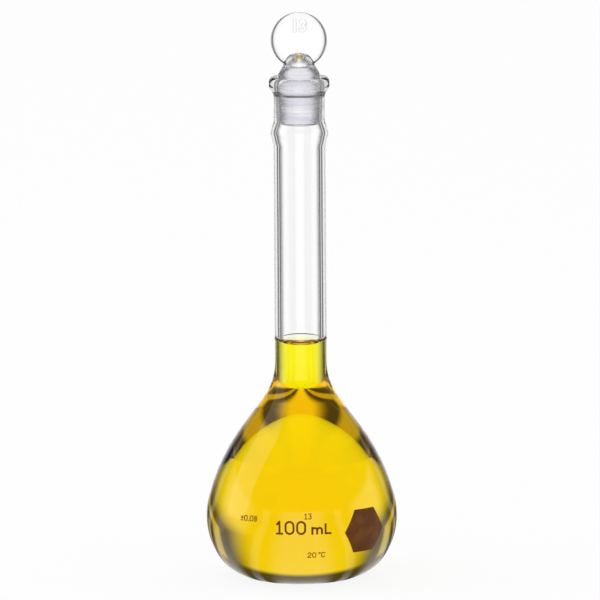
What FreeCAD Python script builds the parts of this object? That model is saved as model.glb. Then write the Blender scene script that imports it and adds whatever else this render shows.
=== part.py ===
import FreeCAD, Part
import math
import os
import re

import Sketcher

# A 100 mL volumetric flask with a ground glass stopper, filled up to its mark.
# The origin is on the axis, on the surface that the flask stands on. The front, with the marks, faces -Y.

# Driving dimensions in millimetres and degrees. Heights are measured from the surface under the flask.
DIMENSIONS = {
    # bulb: arcs that follow each other up the outside, joined by short straights
    "bulb_radius": 30.0,
    "equator_height": 19.75,
    "belly_arc": 22.4,
    "foot_arc": 15.6,
    "shoulder_arc": 65.5,
    "neck_arc": 20.0,
    "straight": 0.4,
    "low_angle": 27.5,
    "high_angle": 15.0,
    "shoulder_angle": 36.5,
    "bulb_wall": 1.29,
    # push-up in the base
    "punt_radius": 11.0,
    "punt_flat": 6.5,
    "punt_height": 2.0,
    "punt_arc": 12.0,
    "base_wall": 2.0,
    "floor_radius": 11.6,
    "floor_arc": 5.0,
    # neck, with a rolled lip and, under the socket, a bulge that reaches up and falls away below
    "neck_radius": 8.15,
    "bore_radius": 6.1,
    "bulge_radius": 9.2,
    "bulge_height": 141.6,
    "bulge_reach": 3.5,
    "bulge_fall": 4.4,
    "bulge_arc": 4.0,
    "bulge_inner_arc": 3.0,
    "bulge_foot_arc": 5.0,
    "collar_radius": 8.05,
    "flare_arc": 4.0,
    "flare_depth": 5.6,
    "lip_radius": 9.6,
    "lip_height": 159.3,
    "lip_depth": 3.1,
    "lip_arc": 1.7,
    "lip_under_arc": 1.5,
    # ground socket: its radius grows by 1 mm in taper_length, and the cavity is cut past the mouth
    "socket_foot": 145.4,
    "socket_foot_radius": 5.85,
    "socket_length": 13.0,
    "taper_length": 20.0,
    "mouth_flare": 0.6,
    "past_mouth": 1.0,
    # stopper
    "seat_gap": 0.04,
    "plug_foot": 144.2,
    "plug_foot_arc": 0.5,
    "plug_top": 160.2,
    "plug_top_arc": 1.2,
    "stem_radius": 4.9,
    "stem_foot": 163.0,
    "stem_foot_arc": 1.5,
    "stem_top": 166.8,
    "stem_top_arc": 3.4,
    "disc_radius": 8.85,
    "disc_height": 170.9,
    "disc_thickness": 4.6,
    "disc_rim_arc": 2.1,
    # solution, whose surface sags between the walls of the neck
    "fill_height": 76.6,
    "meniscus_depth": 2.0,
    "meniscus_lean": 0.4,
    "meniscus_arc": 2.3,
    # enamel
    "enamel": 0.1,
    "mark_height": 76.1,
    "ring_width": 0.3,
    "spot_radius": 7.9,
    "spot_height": 18.6,
    "spot_azimuth": 42.0,
    "capacity_height": 20.8,
    "capacity_azimuth": 1.2,
    "joint_size_height": 24.4,
    "joint_size_azimuth": 3.8,
    "temperature_height": 11.9,
    "temperature_azimuth": 9.0,
    "tolerance_height": 23.1,
    "tolerance_azimuth": -34.0,
    "large_figure": 4.4,
    "small_figure": 1.85,
    "stroke_share": 0.14,
}

# Strokes of the enamel figures, in a cell of height 1. A pair of points inside a stroke is an arc,
# given by a point that it passes through and its end.
GLYPHS = {
    "0": (0.66, [[(0, 0.33), (0, 0.67), ((0.33, 1), (0.66, 0.67)), (0.66, 0.33), ((0.33, 0), (0, 0.33))]]),
    "1": (0.40, [[(0, 0.78), (0.2, 1), (0.2, 0)], [(0, 0), (0.4, 0)]]),
    "2": (0.60, [[(0, 0.72), ((0.3, 1), (0.58, 0.68)), (0, 0), (0.6, 0)]]),
    "3": (0.56, [[(0.06, 0.88), ((0.5, 0.85), (0.28, 0.52)), ((0.5, 0.12), (0.04, 0.12))]]),
    "8": (0.56, [
        [(0.28, 0.52), ((0.04, 0.76), (0.28, 1)), ((0.52, 0.76), (0.28, 0.52))],
        [(0.28, 0.52), ((0.02, 0.26), (0.28, 0)), ((0.54, 0.26), (0.28, 0.52))],
    ]),
    "m": (0.80, [
        [(0, 0), (0, 0.5)],
        [(0, 0.28), ((0.2, 0.48), (0.4, 0.28)), (0.4, 0)],
        [(0.4, 0.28), ((0.6, 0.48), (0.8, 0.28)), (0.8, 0)],
    ]),
    "L": (0.42, [[(0, 0.76), (0, 0), (0.42, 0)]]),
    "C": (0.62, [[(0.62, 0.8), ((0.3, 1), (0, 0.66)), (0, 0.34), ((0.3, 0), (0.62, 0.2))]]),
    "°": (0.26, [[(0.13, 0.74), ((0, 0.87), (0.13, 1)), ((0.26, 0.87), (0.13, 0.74))]]),
    "±": (0.52, [[(0, 0.56), (0.52, 0.56)], [(0.26, 0.3), (0.26, 0.82)], [(0, 0), (0.52, 0)]]),
    ".": (0.10, [[(0, 0), (0.1, 0)]]),
    " ": (0.0, []),
}
LETTER_GAP = 0.3

UP = FreeCAD.Vector(0, 0, 1)
RIGHT = FreeCAD.Vector(1, 0, 0)

doc = FreeCAD.newDocument("volumetric_flask")


def make_sheet():
    sheet = doc.addObject("Spreadsheet::Sheet", "sizes")
    for row, (alias, size) in enumerate(DIMENSIONS.items(), start=1):
        sheet.set(f"A{row}", alias)
        sheet.set(f"B{row}", str(size))
        sheet.setAlias(f"B{row}", alias)
    doc.recompute()
    return sheet


sizes = make_sheet()


def formula(words):
    """A formula in which the sheet's aliases are written without the sheet's name."""
    return re.sub(r"[a-z_]+", lambda word: "sizes." + word[0] if word[0] in DIMENSIONS else word[0], words)


def value(words):
    return float(sizes.evalExpression(formula(words)))


def plane(body, role):
    return next(feature for feature in body.Origin.OriginFeatures if feature.Role == role)


def new_sketch(body, name):
    """A sketch on the body's XZ plane: x is the radius, or the way right, and y is the height."""
    sketch = body.newObject("Sketcher::SketchObject", name)
    sketch.AttachmentSupport = (plane(body, "XZ_Plane"), "")
    sketch.MapMode = "FlatFace"
    return sketch


def drive(sketch, kind, where, words):
    """A dimension of a sketch, bound to the sheet."""
    index = sketch.addConstraint(Sketcher.Constraint(kind, *where, value(words)))
    sketch.setExpression(f"Constraints[{index}]", formula(words))


def pin_point(sketch, geometry, position, across, height):
    """Puts a point of a sketch at a place given by the sheet."""
    for kind, axis, words in (("DistanceX", -2, across), ("DistanceY", -1, height)):
        if words == "0":
            sketch.addConstraint(Sketcher.Constraint("PointOnObject", geometry, position, axis))
        else:
            drive(sketch, kind, (-1, 1, geometry, position), words)


def corner_cut(before, corner, after, rounding):
    """Where a rounded corner's arc starts and ends, and its centre."""
    back = (before - corner).normalize()
    onward = (after - corner).normalize()
    half = back.getAngle(onward) / 2
    reach = rounding / math.tan(half)
    middle = (back + onward).normalize()
    return corner + back * reach, corner + onward * reach, corner + middle * (rounding / math.sin(half))


def draw_outline(sketch, corners):
    """Draws a closed outline through corners (across, height, rounding), all bound to the sheet."""
    points = [FreeCAD.Vector(value(across), value(height), 0) for across, height, _ in corners]
    count = len(corners)
    cuts = []
    for n, (_, _, rounding) in enumerate(corners):
        if rounding == "0":
            cuts.append((points[n], points[n], None))
        else:
            cuts.append(corner_cut(points[n - 1], points[n], points[(n + 1) % count], value(rounding)))
    lines = [
        sketch.addGeometry(Part.LineSegment(cuts[n][1], cuts[(n + 1) % count][0]), False)
        for n in range(count)
    ]
    for n, (across, height, rounding) in enumerate(corners):
        line_in = lines[n - 1]
        line_out = lines[n]
        start, end, centre = cuts[n]
        if centre is None:
            sketch.addConstraint(Sketcher.Constraint("Coincident", line_in, 2, line_out, 1))
            pin_point(sketch, line_out, 1, across, height)
            continue
        middle = centre + (points[n] - centre).normalize() * value(rounding)
        arc = sketch.addGeometry(Part.Arc(start, middle, end), False)
        first, last = sorted((1, 2), key=lambda tip: sketch.getPoint(arc, tip).distanceToPoint(start))
        sketch.addConstraint(Sketcher.Constraint("Tangent", line_in, 2, arc, first))
        sketch.addConstraint(Sketcher.Constraint("Tangent", arc, last, line_out, 1))
        drive(sketch, "Radius", (arc,), rounding)
        point = sketch.addGeometry(Part.Point(points[n]), True)
        sketch.addConstraint(Sketcher.Constraint("PointOnObject", point, 1, line_in))
        sketch.addConstraint(Sketcher.Constraint("PointOnObject", point, 1, line_out))
        pin_point(sketch, point, 1, across, height)


def turn_outline(body, kind, name, corners):
    """Adds or cuts what a closed outline sweeps when it turns about the upright axis."""
    sketch = new_sketch(body, name + "_outline")
    draw_outline(sketch, corners)
    doc.recompute()
    feature = body.newObject(kind, name)
    feature.Profile = sketch
    feature.ReferenceAxis = (sketch, ["V_Axis"])
    feature.Angle = 360
    doc.recompute()
    return feature


def new_body(label):
    body = doc.addObject("PartDesign::Body", label)
    body.Label = label
    return body


def bulb_corners(wall, floor, neck):
    """The bulb's outline from its foot up to the neck, set in from the outside by a wall."""
    belly = f"(belly_arc - {wall})"
    shoulder = f"(shoulder_arc - {wall})"
    side = f"bulb_radius - {wall}"
    low = f"(equator_height - straight / 2 - {belly} * tan(low_angle / 2))"
    high = f"(equator_height + straight / 2 + {belly} * tan(high_angle / 2))"
    bend = "((shoulder_angle - high_angle) / 2)"
    run = f"({belly} * tan(high_angle / 2) + straight + {shoulder} * tan{bend})"
    shoulder_radius = f"({side} - {run} * sin(high_angle))"
    shoulder_height = f"({high} + {run} * cos(high_angle))"
    return [
        (f"{side} - ({low} - {floor}) * tan(low_angle)", floor, f"foot_arc - {wall}"),
        (side, low, belly),
        (side, high, belly),
        (shoulder_radius, shoulder_height, shoulder),
        (neck, f"{shoulder_height} + ({shoulder_radius} - {neck}) / tan(shoulder_angle)", "neck_arc"),
    ]


def cavity_to_neck():
    """The inside from the middle of the base up to the neck."""
    return [
        ("0", "punt_height + base_wall", "0"),
        ("punt_flat", "punt_height + base_wall", "punt_arc"),
        ("floor_radius", "bulb_wall", "floor_arc"),
        *bulb_corners("bulb_wall", "bulb_wall", "bore_radius"),
    ]


def make_flask_body():
    body = new_body("flask_body")
    outside = [
        ("0", "punt_height", "0"),
        ("punt_flat", "punt_height", "punt_arc"),
        ("punt_radius", "0", "0"),
        *bulb_corners("0", "0", "neck_radius"),
        ("neck_radius", "bulge_height - bulge_fall", "bulge_foot_arc"),
        ("bulge_radius", "bulge_height", "bulge_arc"),
        ("collar_radius", "bulge_height + bulge_reach", "bulge_arc"),
        ("collar_radius", "lip_height - flare_depth", "flare_arc"),
        ("lip_radius", "lip_height - lip_depth", "lip_under_arc"),
        ("lip_radius", "lip_height", "lip_arc"),
        ("0", "lip_height", "0"),
    ]
    glass = turn_outline(body, "PartDesign::Revolution", "blown_outside", outside)
    full_volume = glass.Shape.Volume
    socket_top_radius = "socket_foot_radius + socket_length / taper_length"
    inside = cavity_to_neck() + [
        ("bore_radius", "bulge_height - bulge_fall", "bulge_foot_arc"),
        ("bulge_radius - neck_radius + bore_radius", "bulge_height", "bulge_inner_arc"),
        ("socket_foot_radius", "socket_foot", "0"),
        (socket_top_radius, "socket_foot + socket_length", "0"),
        (f"{socket_top_radius} + mouth_flare", "lip_height", "0"),
        (f"{socket_top_radius} + mouth_flare", "lip_height + past_mouth", "0"),
        ("0", "lip_height + past_mouth", "0"),
    ]
    cavity = turn_outline(body, "PartDesign::Groove", "cavity", inside)
    assert cavity.Shape.Volume < full_volume / 2
    return body


def plug_radius(height):
    """The stopper's ground taper, which follows the socket with a small gap."""
    return f"socket_foot_radius + ({height} - socket_foot) / taper_length - seat_gap"


def make_disc(body):
    """The stopper's flat round head, which faces the front."""
    sketch = new_sketch(body, "disc_outline")
    centre = FreeCAD.Vector(0, value("disc_height"), 0)
    circle = sketch.addGeometry(Part.Circle(centre, UP, value("disc_radius")), False)
    drive(sketch, "Radius", (circle,), "disc_radius")
    pin_point(sketch, circle, 3, "0", "disc_height")
    disc = body.newObject("PartDesign::Pad", "disc")
    disc.Profile = sketch
    disc.SideType = "Symmetric"
    disc.setExpression("Length", formula("disc_thickness"))
    doc.recompute()
    edges = enumerate(disc.Shape.Edges, start=1)
    rim = body.newObject("PartDesign::Fillet", "disc_rim")
    rim.Base = (disc, [f"Edge{n}" for n, edge in edges if isinstance(edge.Curve, Part.Circle)])
    rim.setExpression("Radius", formula("disc_rim_arc"))
    doc.recompute()


def make_stopper():
    body = new_body("stopper")
    make_disc(body)
    plug = [
        ("0", "plug_foot", "0"),
        (plug_radius("plug_foot"), "plug_foot", "plug_foot_arc"),
        (plug_radius("plug_top"), "plug_top", "plug_top_arc"),
        ("stem_radius", "stem_foot", "stem_foot_arc"),
        ("stem_radius", "stem_top", "stem_top_arc"),
        ("0", "stem_top", "0"),
    ]
    turn_outline(body, "PartDesign::Revolution", "ground_plug", plug)
    return body


def make_solution():
    body = new_body("solution")
    filled = cavity_to_neck() + [
        ("bore_radius", "fill_height", "0"),
        ("bore_radius - meniscus_lean", "fill_height - meniscus_depth", "meniscus_arc"),
        ("0", "fill_height - meniscus_depth", "0"),
    ]
    turn_outline(body, "PartDesign::Revolution", "filled_cavity", filled)
    return body


def make_outer_form(label, wall, neck):
    """The closed form of the bulb and the lower neck, set in from the outside by a wall."""
    body = new_body(label)
    corners = [
        ("0", "0", "0"),
        *bulb_corners(wall, "0", neck),
        (neck, "fill_height", "0"),
        ("0", "fill_height", "0"),
    ]
    turn_outline(body, "PartDesign::Revolution", label + "_turned", corners)
    return body


def make_enamel_layer():
    """A thin layer all over the bulb and the lower neck, out of which the fired-on figures are cut."""
    layer = doc.addObject("Part::Cut", "enamel_layer")
    layer.Base = make_outer_form("enamelled_form", "(0 - enamel)", "neck_radius + enamel")
    layer.Tool = make_outer_form("bare_form", "0", "neck_radius")
    doc.recompute()
    return layer


def cut_from_layer(label, layer, shape, azimuth):
    """What a shape that points to the front cuts out of the enamel layer, turned to its place."""
    figure = doc.addObject("Part::Common", label)
    figure.Base = shape
    figure.Tool = layer
    figure.Placement = FreeCAD.Placement(FreeCAD.Vector(), FreeCAD.Rotation(UP, value(azimuth)))
    figure.Label = label
    return figure


def make_graduation_ring(layer):
    slab = doc.addObject("Part::Cylinder", "ring_slab")
    slab.setExpression("Radius", formula("bulb_radius"))
    slab.setExpression("Height", formula("ring_width"))
    slab.setExpression("Placement.Base.z", formula("mark_height - ring_width / 2"))
    return cut_from_layer("graduation_ring", layer, slab, "0")


def make_marking_spot(layer):
    prism = doc.addObject("Part::Prism", "spot_prism")
    prism.Polygon = 6
    prism.setExpression("Circumradius", formula("spot_radius"))
    prism.setExpression("Height", formula("2 * bulb_radius"))
    prism.Placement = FreeCAD.Placement(UP * value("spot_height"), FreeCAD.Rotation(RIGHT, 90))
    return cut_from_layer("marking_spot", layer, prism, "spot_azimuth")


def stroke_wire(stroke, scale):
    """One stroke of a figure as a wire of lines and arcs."""
    here = FreeCAD.Vector(*stroke[0], 0) * scale
    edges = []
    for step in stroke[1:]:
        if isinstance(step[0], tuple):
            through, end = (FreeCAD.Vector(*point, 0) * scale for point in step)
            edges.append(Part.Arc(here, through, end).toShape())
        else:
            end = FreeCAD.Vector(*step, 0) * scale
            edges.append(Part.LineSegment(here, end).toShape())
        here = end
    return Part.Wire(edges)


def stroke_face(wire, width):
    """The area that a pen of some width covers along a wire."""
    half = width / 2
    if wire.isClosed():
        outer = Part.Face(wire.makeOffset2D(half))
        return outer.cut(Part.Face(wire.makeOffset2D(-half)))
    if len(wire.Edges) == 1:
        start, end = (vertex.Point for vertex in wire.Vertexes)
        along = (end - start).normalize() * half
        side = along.cross(UP)
        rim = [start - along - side, end + along - side, end + along + side, start - along + side]
        return Part.Face(Part.makePolygon(rim + rim[:1]))
    return Part.Face(wire.makeOffset2D(half))


def figure_solids(text, size, depth):
    """A row of upright figures of some size, with its middle at the origin, that reach out to the front."""
    width = size * value("stroke_share")
    scale = size - width
    pen = 0.0
    solids = []
    for character in text:
        advance, strokes = GLYPHS[character]
        areas = [stroke_face(stroke_wire(stroke, scale), width) for stroke in strokes]
        bars = [area.extrude(UP * depth) for area in areas]
        if bars:
            figure = bars[0].multiFuse(bars[1:]).removeSplitter() if len(bars) > 1 else bars[0]
            figure.translate(FreeCAD.Vector(pen, -scale / 2, 0))
            solids += figure.Solids
        pen += (advance + LETTER_GAP) * scale
    row = Part.makeCompound(solids)
    row.translate(FreeCAD.Vector((LETTER_GAP * scale - pen) / 2, 0, 0))
    row.rotate(FreeCAD.Vector(), RIGHT, 90)
    return row


def make_figures(label, layer, text, size, place):
    """A row of fired-on figures, whose height and azimuth start with the name of their place."""
    row = figure_solids(text, value(size), value("2 * bulb_radius"))
    row.translate(UP * value(place + "_height"))
    strokes = doc.addObject("Part::Feature", label + "_strokes")
    strokes.Shape = row
    return cut_from_layer(label, layer, strokes, place + "_azimuth")


def check(parts):
    """Stops if any object failed, or if a sub-part isn't a sound solid."""
    failed = [thing.Name for thing in doc.Objects if {"Invalid", "Error"} & set(thing.State)]
    failed += [part.Label for part in parts if part.Shape.isNull() or not part.Shape.isValid()]
    failed += [part.Label for part in parts if not part.Shape.Solids]
    if failed:
        raise RuntimeError(f"these failed: {failed}")


def main():
    layer = make_enamel_layer()
    parts = [
        make_flask_body(),
        make_stopper(),
        make_solution(),
        make_graduation_ring(layer),
        make_marking_spot(layer),
        make_figures("capacity_mark", layer, "100 mL", "large_figure", "capacity"),
        make_figures("joint_size_mark", layer, "13", "small_figure", "joint_size"),
        make_figures("temperature_mark", layer, "20 °C", "small_figure", "temperature"),
        make_figures("tolerance_mark", layer, "±0.08", "small_figure", "tolerance"),
    ]
    doc.recompute()
    check(parts)
    os.makedirs("parts", exist_ok=True)
    for part in parts:
        part.Shape.exportStep(f"parts/{part.Label}.step")
        box = part.Shape.optimalBoundingBox()
        print(f"{part.Label}: {len(part.Shape.Solids)} solids, {part.Shape.Volume / 1000:.3f} mL,"
              f" z {box.ZMin:.2f} to {box.ZMax:.2f}")


main()
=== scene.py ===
import math

import bmesh
import bpy
from mathutils import Matrix, Vector


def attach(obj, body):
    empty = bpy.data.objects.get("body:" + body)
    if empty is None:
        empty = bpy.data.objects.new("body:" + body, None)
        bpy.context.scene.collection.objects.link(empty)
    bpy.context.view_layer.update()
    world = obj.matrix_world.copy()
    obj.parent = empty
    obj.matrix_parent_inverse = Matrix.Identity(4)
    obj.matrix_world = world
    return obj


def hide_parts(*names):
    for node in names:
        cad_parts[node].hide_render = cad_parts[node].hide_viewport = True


# Looks of a 100 mL volumetric flask with a ground glass stopper, filled with a yellow solution.
# Shapes are given in millimetres, and all else in metres. The front, with the marks, faces -Y.

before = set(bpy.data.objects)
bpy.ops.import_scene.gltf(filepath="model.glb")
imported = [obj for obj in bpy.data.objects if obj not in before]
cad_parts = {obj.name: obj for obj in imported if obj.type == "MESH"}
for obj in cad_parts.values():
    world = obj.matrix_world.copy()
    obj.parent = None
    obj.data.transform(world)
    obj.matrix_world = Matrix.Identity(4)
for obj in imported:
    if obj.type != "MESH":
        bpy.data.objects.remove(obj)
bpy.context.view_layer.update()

MM = 0.001

# Bulb: arcs that follow each other up the outside
BULB_RADIUS = 30.0
EQUATOR_HEIGHT = 19.75
BELLY_ARC = 22.4
FOOT_ARC = 15.6
SHOULDER_ARC = 65.5
NECK_ARC = 20.0
STRAIGHT = 0.4
LOW_ANGLE = math.radians(27.5)
HIGH_ANGLE = math.radians(15.0)
SHOULDER_ANGLE = math.radians(36.5)
BULB_WALL = 1.29

# Push-up in the base
PUNT_RADIUS = 11.0
PUNT_FLAT = 6.5
PUNT_HEIGHT = 2.0
PUNT_ARC = 12.0
CROWN_ARC = 12.0
BASE_WALL = 2.0
FLOOR_RADIUS = 11.6
FLOOR_ARC = 5.0

# Neck, bulge, lip and ground socket
NECK_RADIUS = 8.15
BORE_RADIUS = 6.1
BULGE_RADIUS = 9.2
BULGE_HEIGHT = 141.6
BULGE_REACH = 3.5
BULGE_FALL = 4.4
BULGE_ARC = 4.0
BULGE_INNER_ARC = 3.0
BULGE_FOOT_ARC = 5.0
COLLAR_RADIUS = 8.05
FLARE_ARC = 4.0
FLARE_DEPTH = 5.6
LIP_RADIUS = 9.6
LIP_HEIGHT = 159.3
LIP_DEPTH = 3.1
LIP_ARC = 1.7
LIP_UNDER_ARC = 1.5
SOCKET_FOOT = 145.4
SOCKET_FOOT_RADIUS = 5.85
SOCKET_LENGTH = 13.0
TAPER = 1 / 20
MOUTH_FLARE = 0.6

# Stopper
SEAT_GAP = 0.04
PLUG_FOOT = 144.2
PLUG_FOOT_ARC = 0.5
PLUG_TOP = 160.2
PLUG_TOP_ARC = 1.2
STEM_RADIUS = 4.9
STEM_FOOT = 163.0
STEM_FOOT_ARC = 1.5
STEM_TOP = 166.8
STEM_TOP_ARC = 3.4
DISC_RADIUS = 8.85
DISC_HEIGHT = 170.9
DISC_THICKNESS = 4.6
DISC_RIM_ARC = 2.1
RELIEF_TEXT = "13"
RELIEF_SIZE = 5.2
RELIEF_HEIGHT = 175.6
RELIEF_RISE = 0.3
RELIEF_BEVEL = 0.27
RELIEF_WELD = 0.001

# Solution: it reaches a little into the wall, so that light passes from one into the other with no gap
FILL_HEIGHT = 76.6
MENISCUS_DEPTH = 2.0
MENISCUS_LEAN = 0.4
MENISCUS_ARC = 2.3
WALL_OVERLAP = 0.03

ENAMEL_NODES = ("graduation_ring", "marking_spot", "capacity_mark", "joint_size_mark", "temperature_mark",
                "tolerance_mark")

ARC_STEP = math.radians(4)
SEGMENTS = 160
ON_AXIS = 1e-6
SHARP_ANGLE = math.radians(28)

# A face looks in or out by the outward part of its normal, and up by the upward part
FACING_IN = -0.2
FACING_OUT = 0.3
FACING_UP = 0.5


# Outlines of turned pieces

def rounded(corners):
    """Points (radius, height) of a line through corners (radius, height, rounding), each corner an arc."""
    spots = [Vector(corner[:2]) for corner in corners]
    points = [spots[0]]
    for before, spot, after, corner in zip(spots, spots[1:], spots[2:], corners[1:]):
        rounding = corner[2]
        if rounding == 0:
            points.append(spot)
            continue
        back = (before - spot).normalized()
        onward = (after - spot).normalized()
        half = back.angle(onward) / 2
        centre = spot + (back + onward).normalized() * (rounding / math.sin(half))
        arm = spot + back * (rounding / math.tan(half)) - centre
        turn = (math.pi - 2 * half) * (1 if back.cross(onward) < 0 else -1)
        steps = max(2, math.ceil(abs(turn) / ARC_STEP))
        for step in range(steps + 1):
            points.append(centre + Matrix.Rotation(turn * step / steps, 2) @ arm)
    return points + [spots[-1]]


def bulb_corners(wall, floor, neck):
    """The bulb's outline from its foot up to the neck, set in from the outside by a wall."""
    belly = BELLY_ARC - wall
    shoulder = SHOULDER_ARC - wall
    side = BULB_RADIUS - wall
    low = EQUATOR_HEIGHT - STRAIGHT / 2 - belly * math.tan(LOW_ANGLE / 2)
    high = EQUATOR_HEIGHT + STRAIGHT / 2 + belly * math.tan(HIGH_ANGLE / 2)
    bend = (SHOULDER_ANGLE - HIGH_ANGLE) / 2
    run = belly * math.tan(HIGH_ANGLE / 2) + STRAIGHT + shoulder * math.tan(bend)
    shoulder_radius = side - run * math.sin(HIGH_ANGLE)
    shoulder_height = high + run * math.cos(HIGH_ANGLE)
    return [
        (side - (low - floor) * math.tan(LOW_ANGLE), floor, FOOT_ARC - wall),
        (side, low, belly),
        (side, high, belly),
        (shoulder_radius, shoulder_height, shoulder),
        (neck, shoulder_height + (shoulder_radius - neck) / math.tan(SHOULDER_ANGLE), NECK_ARC),
    ]


def cavity_to_neck(overlap):
    """The inside from the middle of the base up to the neck, grown into the wall by an overlap."""
    wall = BULB_WALL - overlap
    floor_top = PUNT_HEIGHT + BASE_WALL - overlap
    return [
        (0, floor_top, 0),
        (PUNT_FLAT, floor_top, CROWN_ARC),
        (FLOOR_RADIUS, wall, FLOOR_ARC),
        *bulb_corners(wall, wall, BORE_RADIUS + overlap),
    ]


def flask_outline():
    """The glass from the middle of the base, up the outside, over the lip and down the inside."""
    socket_top_radius = SOCKET_FOOT_RADIUS + SOCKET_LENGTH * TAPER
    outside = [
        (0, PUNT_HEIGHT, 0),
        (PUNT_FLAT, PUNT_HEIGHT, PUNT_ARC),
        (PUNT_RADIUS, 0, 0),
        *bulb_corners(0, 0, NECK_RADIUS),
        (NECK_RADIUS, BULGE_HEIGHT - BULGE_FALL, BULGE_FOOT_ARC),
        (BULGE_RADIUS, BULGE_HEIGHT, BULGE_ARC),
        (COLLAR_RADIUS, BULGE_HEIGHT + BULGE_REACH, BULGE_ARC),
        (COLLAR_RADIUS, LIP_HEIGHT - FLARE_DEPTH, FLARE_ARC),
        (LIP_RADIUS, LIP_HEIGHT - LIP_DEPTH, LIP_UNDER_ARC),
        (LIP_RADIUS, LIP_HEIGHT, LIP_ARC),
    ]
    inside = cavity_to_neck(0) + [
        (BORE_RADIUS, FILL_HEIGHT, 0),
        (BORE_RADIUS, BULGE_HEIGHT - BULGE_FALL, BULGE_FOOT_ARC),
        (BULGE_RADIUS - NECK_RADIUS + BORE_RADIUS, BULGE_HEIGHT, BULGE_INNER_ARC),
        (SOCKET_FOOT_RADIUS, SOCKET_FOOT, 0),
        (socket_top_radius, SOCKET_FOOT + SOCKET_LENGTH, 0),
        (socket_top_radius + MOUTH_FLARE, LIP_HEIGHT, 0),
    ]
    return rounded(outside + inside[::-1])


def plug_radius(height):
    return SOCKET_FOOT_RADIUS + (height - SOCKET_FOOT) * TAPER - SEAT_GAP


def plug_outline():
    return rounded([
        (0, PLUG_FOOT, 0),
        (plug_radius(PLUG_FOOT), PLUG_FOOT, PLUG_FOOT_ARC),
        (plug_radius(PLUG_TOP), PLUG_TOP, PLUG_TOP_ARC),
        (STEM_RADIUS, STEM_FOOT, STEM_FOOT_ARC),
        (STEM_RADIUS, STEM_TOP, STEM_TOP_ARC),
        (0, STEM_TOP, 0),
    ])


def disc_outline():
    half = DISC_THICKNESS / 2
    return rounded([
        (0, -half, 0),
        (DISC_RADIUS, -half, DISC_RIM_ARC),
        (DISC_RADIUS, half, DISC_RIM_ARC),
        (0, half, 0),
    ])


def solution_outline():
    """The filling, whose surface sags between the walls of the neck."""
    return rounded(cavity_to_neck(WALL_OVERLAP) + [
        (BORE_RADIUS + WALL_OVERLAP, FILL_HEIGHT, 0),
        (BORE_RADIUS, FILL_HEIGHT, 0),
        (BORE_RADIUS - MENISCUS_LEAN, FILL_HEIGHT - MENISCUS_DEPTH, MENISCUS_ARC),
        (0, FILL_HEIGHT - MENISCUS_DEPTH, 0),
    ])


# Nodes

def math_node(tree, operation, *values):
    """A Math node's result. Each value is a number or another node's output."""
    node = tree.nodes.new("ShaderNodeMath")
    node.operation = operation
    for socket, value in zip(node.inputs, values):
        feed(tree, socket, value)
    return node.outputs[0]


def feed(tree, socket, value):
    if isinstance(value, bpy.types.NodeSocket):
        tree.links.new(value, socket)
    else:
        socket.default_value = value


def ramp(tree, value, start, end, low=0.0, high=1.0):
    """Goes smoothly from low, where value is start, to high, where it is end."""
    node = tree.nodes.new("ShaderNodeMapRange")
    node.interpolation_type = "SMOOTHSTEP"
    names = ("Value", "From Min", "From Max", "To Min", "To Max")
    for name, given in zip(names, (value, start, end, low, high)):
        feed(tree, node.inputs[name], given)
    return node.outputs["Result"]


def blend_colours(tree, share, first, second):
    node = tree.nodes.new("ShaderNodeMix")
    node.data_type = "RGBA"
    feed(tree, node.inputs["Factor"], share)
    feed(tree, node.inputs["A"], first)
    feed(tree, node.inputs["B"], second)
    return node.outputs["Result"]


def blend_shaders(tree, share, first, second):
    node = tree.nodes.new("ShaderNodeMixShader")
    feed(tree, node.inputs["Fac"], share)
    tree.links.new(first, node.inputs[1])
    tree.links.new(second, node.inputs[2])
    return node.outputs[0]


def emission(tree, colour, strength):
    node = tree.nodes.new("ShaderNodeEmission")
    feed(tree, node.inputs["Color"], colour)
    feed(tree, node.inputs["Strength"], strength)
    return node.outputs[0]


def grey(level):
    return (level, level, level, 1)


# Materials

GLASS_IOR = 1.473
SOLUTION_IOR = 1.337
BLOWN_NOISE = (70, 70, 16)
BLOWN_DEPTH = 0.02 * MM
GRINDING_NOISE = (60, 60, 1300)
GRINDING_DETAIL = 3.0
GRINDING_DEPTH = 0.03 * MM
GROUND_DULL = (0.90, 0.88, 0.95, 1)
GROUND_CLEAR = (1, 1, 1, 1)
GROUND_ROUGHNESS = (0.3, 0.12)
DYE_COLOUR = (0.9993, 0.9815, 0.0, 1)
DYE_DENSITY = 450.0
ENAMEL_DARK = (0.12, 0.036, 0.003, 1)
ENAMEL_LIGHT = (0.17, 0.055, 0.005, 1)
ENAMEL_SPECULAR = 0.2
ENAMEL_ROUGHNESS = (0.4, 0.6)
PATCH_NOISE = (260, 260, 260)
PATCH_DETAIL = 4.0
GRAIN_NOISE = (2400, 2400, 2400)
GRAIN_DEPTH = 0.01 * MM

# Most of what noise covers lies between these values
NOISE_SPREAD = (0.35, 0.65)
GRAIN_SPREAD = (0.3, 0.7)


def new_material(name):
    material = bpy.data.materials.new(name)
    material.use_nodes = True
    return material, material.node_tree, material.node_tree.nodes["Principled BSDF"]


def noise(tree, stretch, detail=2.0):
    """Smooth noise from 0 to 1, with so many features per metre each way."""
    mapping = tree.nodes.new("ShaderNodeMapping")
    tree.links.new(tree.nodes.new("ShaderNodeTexCoord").outputs["Object"], mapping.inputs["Vector"])
    mapping.inputs["Scale"].default_value = stretch
    texture = tree.nodes.new("ShaderNodeTexNoise")
    texture.inputs["Scale"].default_value = 1.0
    texture.inputs["Detail"].default_value = detail
    tree.links.new(mapping.outputs[0], texture.inputs["Vector"])
    return texture.outputs["Fac"]


def bump(tree, shader, height, depth):
    node = tree.nodes.new("ShaderNodeBump")
    node.inputs["Distance"].default_value = depth
    feed(tree, node.inputs["Height"], height)
    tree.links.new(node.outputs[0], shader.inputs["Normal"])


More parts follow.
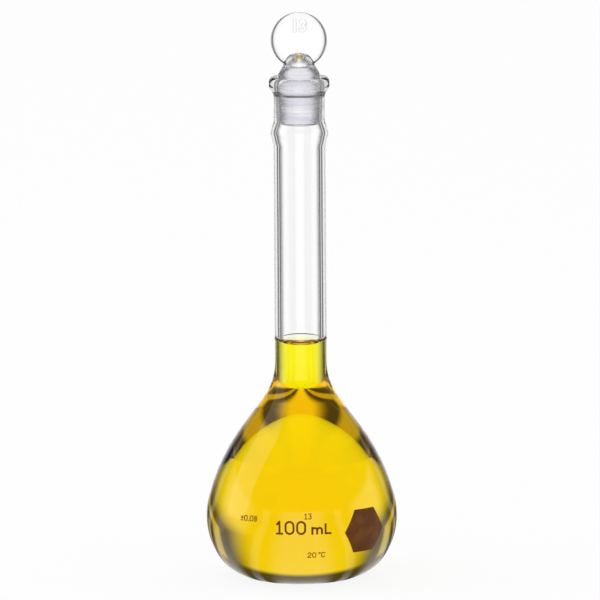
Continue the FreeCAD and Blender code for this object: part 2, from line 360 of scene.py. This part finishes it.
def new_glass(name, ior):
    material, tree, shader = new_material(name)
    shader.inputs["Base Color"].default_value = (1, 1, 1, 1)
    shader.inputs["Roughness"].default_value = 0.0
    shader.inputs["IOR"].default_value = ior
    shader.inputs["Transmission Weight"].default_value = 1.0
    return material, tree, shader


def make_clear_glass():
    """Blown glass, whose surface is slightly uneven along the neck."""
    material, tree, shader = new_glass("clear_glass", GLASS_IOR)
    bump(tree, shader, noise(tree, BLOWN_NOISE), BLOWN_DEPTH)
    return material


def make_wetted_wall():
    """The inside of the glass under the filling, where only the filling's own surface bends the light."""
    material, _, shader = new_material("wetted_wall")
    shader.inputs["Alpha"].default_value = 0.0
    return material


def make_ground_glass():
    """Frosted glass with fine marks of the grinding, which run round it."""
    material, tree, shader = new_glass("ground_glass", GLASS_IOR)
    marks = noise(tree, GRINDING_NOISE, GRINDING_DETAIL)
    colour = blend_colours(tree, ramp(tree, marks, *NOISE_SPREAD), GROUND_DULL, GROUND_CLEAR)
    tree.links.new(colour, shader.inputs["Base Color"])
    feed(tree, shader.inputs["Roughness"], ramp(tree, marks, *NOISE_SPREAD, *GROUND_ROUGHNESS))
    bump(tree, shader, marks, GRINDING_DEPTH)
    return material


def make_yellow_solution():
    """Towards the wall the solution meets glass, and on top it meets air."""
    material, tree, shader = new_glass("yellow_solution", SOLUTION_IOR)
    split = tree.nodes.new("ShaderNodeSeparateXYZ")
    tree.links.new(tree.nodes.new("ShaderNodeTexCoord").outputs["Object"], split.inputs[0])
    x, y, z = split.outputs
    square = math_node(tree, "MULTIPLY_ADD", x, x, math_node(tree, "MULTIPLY", y, y))
    radius = math_node(tree, "SQRT", square)
    off_wall = math_node(tree, "LESS_THAN", radius, (BORE_RADIUS + WALL_OVERLAP / 2) * MM)
    high = math_node(tree, "GREATER_THAN", z, (FILL_HEIGHT - MENISCUS_DEPTH - WALL_OVERLAP) * MM)
    on_top = math_node(tree, "MULTIPLY", off_wall, high)
    against_glass = SOLUTION_IOR / GLASS_IOR
    ior = math_node(tree, "MULTIPLY_ADD", on_top, SOLUTION_IOR - against_glass, against_glass)
    tree.links.new(ior, shader.inputs["IOR"])
    dye = tree.nodes.new("ShaderNodeVolumeAbsorption")
    dye.inputs["Color"].default_value = DYE_COLOUR
    dye.inputs["Density"].default_value = DYE_DENSITY
    tree.links.new(dye.outputs[0], tree.nodes["Material Output"].inputs["Volume"])
    return material


def make_brown_enamel():
    """Fired-on enamel, a little uneven in thickness and sheen."""
    material, tree, shader = new_material("brown_enamel")
    patches = noise(tree, PATCH_NOISE, PATCH_DETAIL)
    colour = blend_colours(tree, ramp(tree, patches, *NOISE_SPREAD), ENAMEL_DARK, ENAMEL_LIGHT)
    tree.links.new(colour, shader.inputs["Base Color"])
    shader.inputs["Specular IOR Level"].default_value = ENAMEL_SPECULAR
    grain = noise(tree, GRAIN_NOISE)
    feed(tree, shader.inputs["Roughness"], ramp(tree, grain, *GRAIN_SPREAD, *ENAMEL_ROUGHNESS))
    bump(tree, shader, grain, GRAIN_DEPTH)
    return material


clear_glass = make_clear_glass()
wetted_wall = make_wetted_wall()
ground_glass = make_ground_glass()
yellow_solution = make_yellow_solution()
brown_enamel = make_brown_enamel()


# Meshes

def turned_mesh(name, outline):
    """A closed mesh from an outline in millimetres that starts and ends on the upright axis."""
    shape = bmesh.new()
    rings = []
    for radius, height in outline:
        if radius < ON_AXIS:
            rings.append([shape.verts.new((0, 0, height * MM))] * SEGMENTS)
            continue
        reach = radius * MM
        angles = [2 * math.pi * n / SEGMENTS for n in range(SEGMENTS)]
        rings.append([
            shape.verts.new((reach * math.cos(a), reach * math.sin(a), height * MM)) for a in angles
        ])
    for lower, upper in zip(rings, rings[1:]):
        for n in range(SEGMENTS):
            following = (n + 1) % SEGMENTS
            loop = [lower[n], lower[following], upper[following], upper[n]]
            shape.faces.new(dict.fromkeys(loop))
    bmesh.ops.recalc_face_normals(shape, faces=shape.faces)
    mesh = bpy.data.meshes.new(name)
    shape.to_mesh(mesh)
    shape.free()
    return mesh


def smooth(mesh):
    """Smooth shading, apart from real edges."""
    mesh.shade_smooth()
    mesh.set_sharp_from_angle(angle=SHARP_ANGLE)


def new_object(name, mesh):
    piece = bpy.data.objects.new(name, mesh)
    bpy.context.scene.collection.objects.link(piece)
    return piece


def joined(piece, other):
    """Makes two closed meshes one closed mesh."""
    union = piece.modifiers.new("union", "BOOLEAN")
    union.operation = "UNION"
    union.solver = "MANIFOLD"
    union.object = other
    bpy.context.view_layer.update()
    evaluated = piece.evaluated_get(bpy.context.evaluated_depsgraph_get())
    mesh = bpy.data.meshes.new_from_object(evaluated)
    piece.modifiers.clear()
    piece.data = mesh
    bpy.data.objects.remove(other)


def paint(mesh, material, chosen):
    """Gives a material to the faces that chosen picks by their radius and height in mm, and normal."""
    mesh.materials.append(material)
    for face in mesh.polygons:
        radial = Vector((face.center.x, face.center.y, 0))
        radius = radial.length / MM
        outward = face.normal.dot(radial.normalized())
        if chosen(radius, face.center.z / MM, outward, face.normal.z):
            face.material_index = len(mesh.materials) - 1


def finish_piece(piece, body, slot, *nodes):
    smooth(piece.data)
    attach(piece, body)
    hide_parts(*nodes)
    return piece


def is_wetted(radius, height, outward, upward):
    """True on the inside of the flask, below the filling's contact line."""
    on_floor = upward > FACING_UP and height < PUNT_HEIGHT + 2 * BASE_WALL
    return height < FILL_HEIGHT and (outward < FACING_IN or on_floor)


def is_socket(radius, height, outward, upward):
    return SOCKET_FOOT < height < SOCKET_FOOT + SOCKET_LENGTH and outward < 0


def is_ground_plug(radius, height, outward, upward):
    return PLUG_FOOT + PLUG_FOOT_ARC < height < STEM_FOOT and outward > FACING_OUT


def make_flask():
    flask = new_object("flask_glass", turned_mesh("flask_glass", flask_outline()))
    flask.data.materials.append(clear_glass)
    paint(flask.data, wetted_wall, is_wetted)
    paint(flask.data, ground_glass, is_socket)
    return finish_piece(flask, "flask", "clear_glass", "flask_body")


def make_solution():
    filling = new_object("yellow_filling", turned_mesh("yellow_filling", solution_outline()))
    filling.data.materials.append(yellow_solution)
    return finish_piece(filling, "flask", "yellow_solution", "solution")


def size_relief():
    """The size number of the ground joint, raised on the front of the stopper's disc."""
    words = bpy.data.curves.new("size_relief", "FONT")
    words.body = RELIEF_TEXT
    words.size = RELIEF_SIZE * MM
    words.align_x = "CENTER"
    words.align_y = "CENTER"
    words.extrude = RELIEF_RISE * MM
    words.bevel_depth = RELIEF_BEVEL * MM
    source = new_object("size_relief_source", words)
    bpy.context.view_layer.update()
    mesh = bpy.data.meshes.new_from_object(source.evaluated_get(bpy.context.evaluated_depsgraph_get()))
    bpy.data.objects.remove(source)
    front = Vector((0, -DISC_THICKNESS / 2, RELIEF_HEIGHT)) * MM
    mesh.transform(Matrix.Translation(front) @ Matrix.Rotation(math.pi / 2, 4, "X"))
    shape = bmesh.new()
    shape.from_mesh(mesh)
    bmesh.ops.remove_doubles(shape, verts=shape.verts, dist=RELIEF_WELD * MM)
    bmesh.ops.recalc_face_normals(shape, faces=shape.faces)
    shape.to_mesh(mesh)
    shape.free()
    return new_object("size_relief", mesh)


def make_stopper():
    stopper = new_object("stopper_glass", turned_mesh("stopper_glass", plug_outline()))
    disc = new_object("stopper_disc", turned_mesh("stopper_disc", disc_outline()))
    disc.data.transform(Matrix.Translation((0, 0, DISC_HEIGHT * MM)) @ Matrix.Rotation(math.pi / 2, 4, "X"))
    joined(stopper, disc)
    joined(stopper, size_relief())
    stopper.data.materials.clear()
    stopper.data.materials.append(clear_glass)
    paint(stopper.data, ground_glass, is_ground_plug)
    return finish_piece(stopper, "stopper", "clear_glass", "stopper")


# Studio: a white floor and backdrop. In the glass they show as four white panels, with narrow grey ones
# at the corners, and the dark room between and above them, which gives the glass its dark edges.

def slope(*degrees):
    """Bounds of an angle off the middle of a panel, as slopes."""
    return [math.tan(math.radians(angle)) for angle in degrees]


def rise(*degrees):
    """Bounds of an angle over the horizon, as heights of a direction of length 1."""
    return [math.sin(math.radians(angle)) for angle in degrees]


PANEL_LIGHT = 1.0
CORNER_LIGHT = 0.6
ROOM_LIGHT = 0.08
PANEL_EDGE = slope(14, 34)
CORNER_EDGE = slope(38, 42)
WALL_TOP = rise(16, 20)
FLOOR_HALF = 6.0
FLOOR_PAINT = 0.9
WHITE_SHARE = 0.9
SOFT_LEVEL = 0.9


def light_path(tree):
    return tree.nodes.new("ShaderNodeLightPath").outputs


def panel_light(tree, vector):
    """How bright the studio is each way, as the glass shows it, and the vector's height."""
    split = tree.nodes.new("ShaderNodeSeparateXYZ")
    tree.links.new(vector, split.inputs[0])
    x = math_node(tree, "ABSOLUTE", split.outputs["X"])
    y = math_node(tree, "ABSOLUTE", split.outputs["Y"])
    aside = math_node(tree, "DIVIDE", math_node(tree, "MINIMUM", x, y), math_node(tree, "MAXIMUM", x, y))
    panel = ramp(tree, aside, *PANEL_EDGE, PANEL_LIGHT, ROOM_LIGHT)
    corner = ramp(tree, aside, *CORNER_EDGE, ROOM_LIGHT, CORNER_LIGHT)
    return math_node(tree, "MAXIMUM", panel, corner), split.outputs["Z"]


def make_floor():
    mesh = bpy.data.meshes.new("floor")
    corners = [(x * FLOOR_HALF, y * FLOOR_HALF, 0) for x, y in ((-1, -1), (1, -1), (1, 1), (-1, 1))]
    mesh.from_pydata(corners, [], [range(4)])
    material, tree, shader = new_material("white_floor")
    tree.nodes.remove(shader)
    path = light_path(tree)
    plain = tree.nodes.new("ShaderNodeBsdfDiffuse")
    plain.inputs["Color"].default_value = grey(FLOOR_PAINT)
    by_glass = math_node(tree, "MAXIMUM", path["Is Transmission Ray"], path["Is Glossy Ray"])
    level, _ = panel_light(tree, tree.nodes.new("ShaderNodeNewGeometry").outputs["Position"])
    surface = blend_shaders(tree, by_glass, plain.outputs[0], emission(tree, grey(1.0), level))
    white = math_node(tree, "MULTIPLY", path["Is Camera Ray"], WHITE_SHARE)
    surface = blend_shaders(tree, white, surface, emission(tree, grey(1.0), 1.0))
    tree.links.new(surface, tree.nodes["Material Output"].inputs["Surface"])
    mesh.materials.append(material)
    new_object("floor", mesh)


def make_world():
    world = bpy.data.worlds.new("studio")
    world.use_nodes = True
    tree = world.node_tree
    path = light_path(tree)
    level, height = panel_light(tree, tree.nodes.new("ShaderNodeTexCoord").outputs["Generated"])
    level = ramp(tree, height, *WALL_TOP, level, ROOM_LIGHT)
    seen = blend_colours(tree, path["Is Diffuse Ray"], level, grey(SOFT_LEVEL))
    seen = blend_colours(tree, path["Is Camera Ray"], seen, grey(1.0))
    tree.links.new(seen, tree.nodes["Background"].inputs["Color"])
    bpy.context.scene.world = world


# Softbox at the left, tall enough to show as a strip down the glass

SOFTBOX_AZIMUTH = math.radians(88)
SOFTBOX_ELEVATION = math.radians(35)
SOFTBOX_DISTANCE = 1.5
SOFTBOX_WIDTH = 0.9
SOFTBOX_HEIGHT = 2.4
SOFTBOX_RADIANCE = 0.85


def make_softbox():
    light = bpy.data.lights.new("softbox", "AREA")
    light.shape = "RECTANGLE"
    light.size = SOFTBOX_WIDTH
    light.size_y = SOFTBOX_HEIGHT
    light.energy = SOFTBOX_RADIANCE * math.pi * SOFTBOX_WIDTH * SOFTBOX_HEIGHT
    softbox = bpy.data.objects.new("softbox", light)
    bpy.context.scene.collection.objects.link(softbox)
    level = math.cos(SOFTBOX_ELEVATION)
    way = Vector((
        -math.sin(SOFTBOX_AZIMUTH) * level,
        -math.cos(SOFTBOX_AZIMUTH) * level,
        math.sin(SOFTBOX_ELEVATION),
    ))
    softbox.location = way * SOFTBOX_DISTANCE
    softbox.rotation_euler = (-way).to_track_quat("-Z", "Y").to_euler()


# Camera: the photograph's frame is 600 pixels wide

PIXEL = 0.3145 * MM
FRAME_PIXELS = 600
SENSOR_WIDTH = 36.0
CAMERA_DISTANCE = 5.0
ELEVATION = math.radians(9.6)
ROLL = math.radians(-0.36)
AIM_SIDE = -0.15 * MM
AIM_HEIGHT = 88.2 * MM


def make_camera():
    data = bpy.data.cameras.new("camera")
    data.sensor_width = SENSOR_WIDTH
    data.lens = SENSOR_WIDTH * CAMERA_DISTANCE / (FRAME_PIXELS * PIXEL)
    data.clip_end = 2 * CAMERA_DISTANCE + FLOOR_HALF
    camera = bpy.data.objects.new("camera", data)
    bpy.context.scene.collection.objects.link(camera)
    aim = Vector((AIM_SIDE, 0, AIM_HEIGHT))
    back = Vector((0, -math.cos(ELEVATION), math.sin(ELEVATION)))
    camera.location = aim + back * CAMERA_DISTANCE
    turned = (-back).to_track_quat("-Z", "Y").to_matrix() @ Matrix.Rotation(ROLL, 3, "Z")
    camera.rotation_euler = turned.to_euler()
    bpy.context.scene.camera = camera


make_flask()
make_solution()
make_stopper()
for node in ENAMEL_NODES:
    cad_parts[node].data.materials.clear()
    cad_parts[node].data.materials.append(brown_enamel)
make_floor()
make_world()
make_softbox()
make_camera()
bpy.context.scene.view_settings.view_transform = "Standard"
